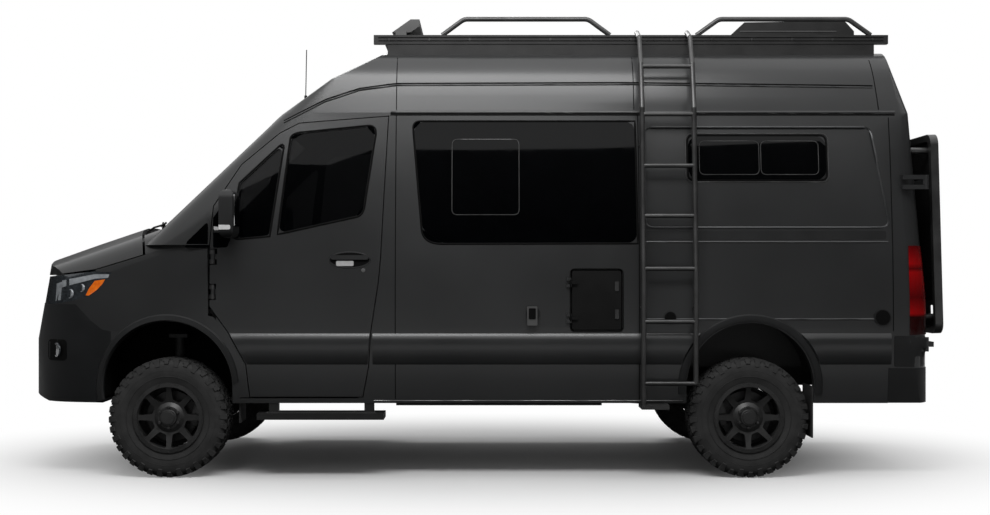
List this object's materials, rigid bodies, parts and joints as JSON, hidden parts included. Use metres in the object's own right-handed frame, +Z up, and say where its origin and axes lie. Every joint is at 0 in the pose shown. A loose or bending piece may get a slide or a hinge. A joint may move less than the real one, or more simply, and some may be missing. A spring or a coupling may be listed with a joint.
{
  "type": "camper van",
  "caption": "High-roof camper van with roof rack, side ladder and rear door carriers; doors, hood, hatch, steering and wheels move.",
  "frame": {"origin": "on the ground, under the middle of the overall length and width", "axes": "+X to the rear of the van, +Y to its right, +Z up"},
  "size_m": [5.9439, 2.516, 3],
  "materials": {
    "paint": "satin dark graphite metallic",
    "cladding": "grained black plastic",
    "black_metal": "satin black powder coat",
    "glass": "dark tinted glass",
    "clear_lamp": "clear lamp lens",
    "red_lamp": "red lamp lens",
    "steel": "dark coated steel",
    "engine": "cast metal",
    "trim": "dark cabin plastic",
    "seat": "dark woven seat cloth",
    "floor": "dark painted steel",
    "deflector": "grey painted metal",
    "ac": "black plastic",
    "tyre": "black rubber",
    "rim": "matte black alloy",
    "rubber": "black rubber"
  },
  "bodies": {
    "van": {"floor": "floor", "side_left": "paint", "side_right": "paint", "sliding_door": "paint", "roof": "paint", "cab_frame": "paint", "cowl": "cladding", "wings": "paint", "front_bumper": "cladding", "wheel_liners": "cladding", "grille": "cladding", "headlamps": "clear_lamp", "windshield": "glass", "side_glass": "glass", "rear_windows": "glass", "tail_lamps": "red_lamp", "rear_bumper": "cladding", "engine_block": "engine", "chassis": "steel", "front_subframe": "steel", "rear_axle": "steel", "driveline": "steel", "tanks": "trim", "dashboard": "trim", "steering_wheel": "trim", "front_seats": "seat", "roof_rack": "black_metal", "rack_hoops": "black_metal", "wind_deflector": "deflector", "air_conditioner": "ac", "ladder": "black_metal", "side_steps": "black_metal", "mud_flaps": "rubber", "side_ports": "cladding"},
    "hood_lid": {"hood": "paint"},
    "left_front_door": {"door_left": "paint", "door_left_glass": "glass", "mirror_left": "cladding"},
    "right_front_door": {"door_right": "paint", "door_right_glass": "glass", "mirror_right": "cladding"},
    "left_rear_door": {"rear_door_left": "paint", "rear_door_glass_left": "glass", "carrier_left": "black_metal"},
    "right_rear_door": {"rear_door_right": "paint", "rear_door_glass_right": "glass", "carrier_right": "black_metal"},
    "service_hatch": {"hatch_door": "cladding"},
    "left_knuckle": {"knuckle_left": "steel"},
    "right_knuckle": {"knuckle_right": "steel"},
    "front_left_wheel": {"rims_front_left": "rim", "tyre_front_left": "tyre"},
    "front_right_wheel": {"rims_front_right": "rim", "tyre_front_right": "tyre"},
    "rear_left_wheel": {"rims_rear_left": "rim", "tyre_rear_left": "tyre"},
    "rear_right_wheel": {"rims_rear_right": "rim", "tyre_rear_right": "tyre"}
  },
  "joints": [
    {"name": "steer_left", "type": "hinge", "parent": "van", "child": "left_knuckle", "pos_m": [-1.9595, -0.797, 0.378], "axis": [0, 0, 1], "range_deg": [-32, 32]},
    {"name": "steer_right", "type": "hinge", "parent": "van", "child": "right_knuckle", "pos_m": [-1.9595, 0.797, 0.378], "axis": [0, 0, 1], "range_deg": [-32, 32]},
    {"name": "spin_front_left", "type": "hinge", "parent": "left_knuckle", "child": "front_left_wheel", "pos_m": [-1.9595, -0.852, 0.378], "axis": [0, 1, 0], "continuous": true},
    {"name": "spin_front_right", "type": "hinge", "parent": "right_knuckle", "child": "front_right_wheel", "pos_m": [-1.9595, 0.852, 0.378], "axis": [0, 1, 0], "continuous": true},
    {"name": "spin_rear_left", "type": "hinge", "parent": "van", "child": "rear_left_wheel", "pos_m": [1.7055, -0.852, 0.378], "axis": [0, 1, 0], "continuous": true},
    {"name": "spin_rear_right", "type": "hinge", "parent": "van", "child": "rear_right_wheel", "pos_m": [1.7055, 0.852, 0.378], "axis": [0, 1, 0], "continuous": true},
    {"name": "front_door_left_hinge", "type": "hinge", "parent": "van", "child": "left_front_door", "pos_m": [-1.6715, -0.988, 1.25], "axis": [0, 0, -1], "range_deg": [0, 70]},
    {"name": "front_door_right_hinge", "type": "hinge", "parent": "van", "child": "right_front_door", "pos_m": [-1.6715, 0.988, 1.25], "axis": [0, 0, 1], "range_deg": [0, 70]},
    {"name": "rear_door_left_hinge", "type": "hinge", "parent": "van", "child": "left_rear_door", "pos_m": [2.8155, -0.985, 1.3], "axis": [0, 0, -1], "range_deg": [0, 95]},
    {"name": "rear_door_right_hinge", "type": "hinge", "parent": "van", "child": "right_rear_door", "pos_m": [2.8155, 0.985, 1.3], "axis": [0, 0, 1], "range_deg": [0, 95]},
    {"name": "hood_hinge", "type": "hinge", "parent": "van", "child": "hood_lid", "pos_m": [-2.0895, 0, 1.5], "axis": [0, 1, 0], "range_deg": [0, 40]},
    {"name": "hatch_hinge", "type": "hinge", "parent": "van", "child": "service_hatch", "pos_m": [0.5755, -1.0189, 1.12], "axis": [0, 0, -1], "range_deg": [0, 100]}
  ],
  "couplings": [
    {"joint": "steer_right", "follows": "steer_left", "ratio": 1}
  ]
}
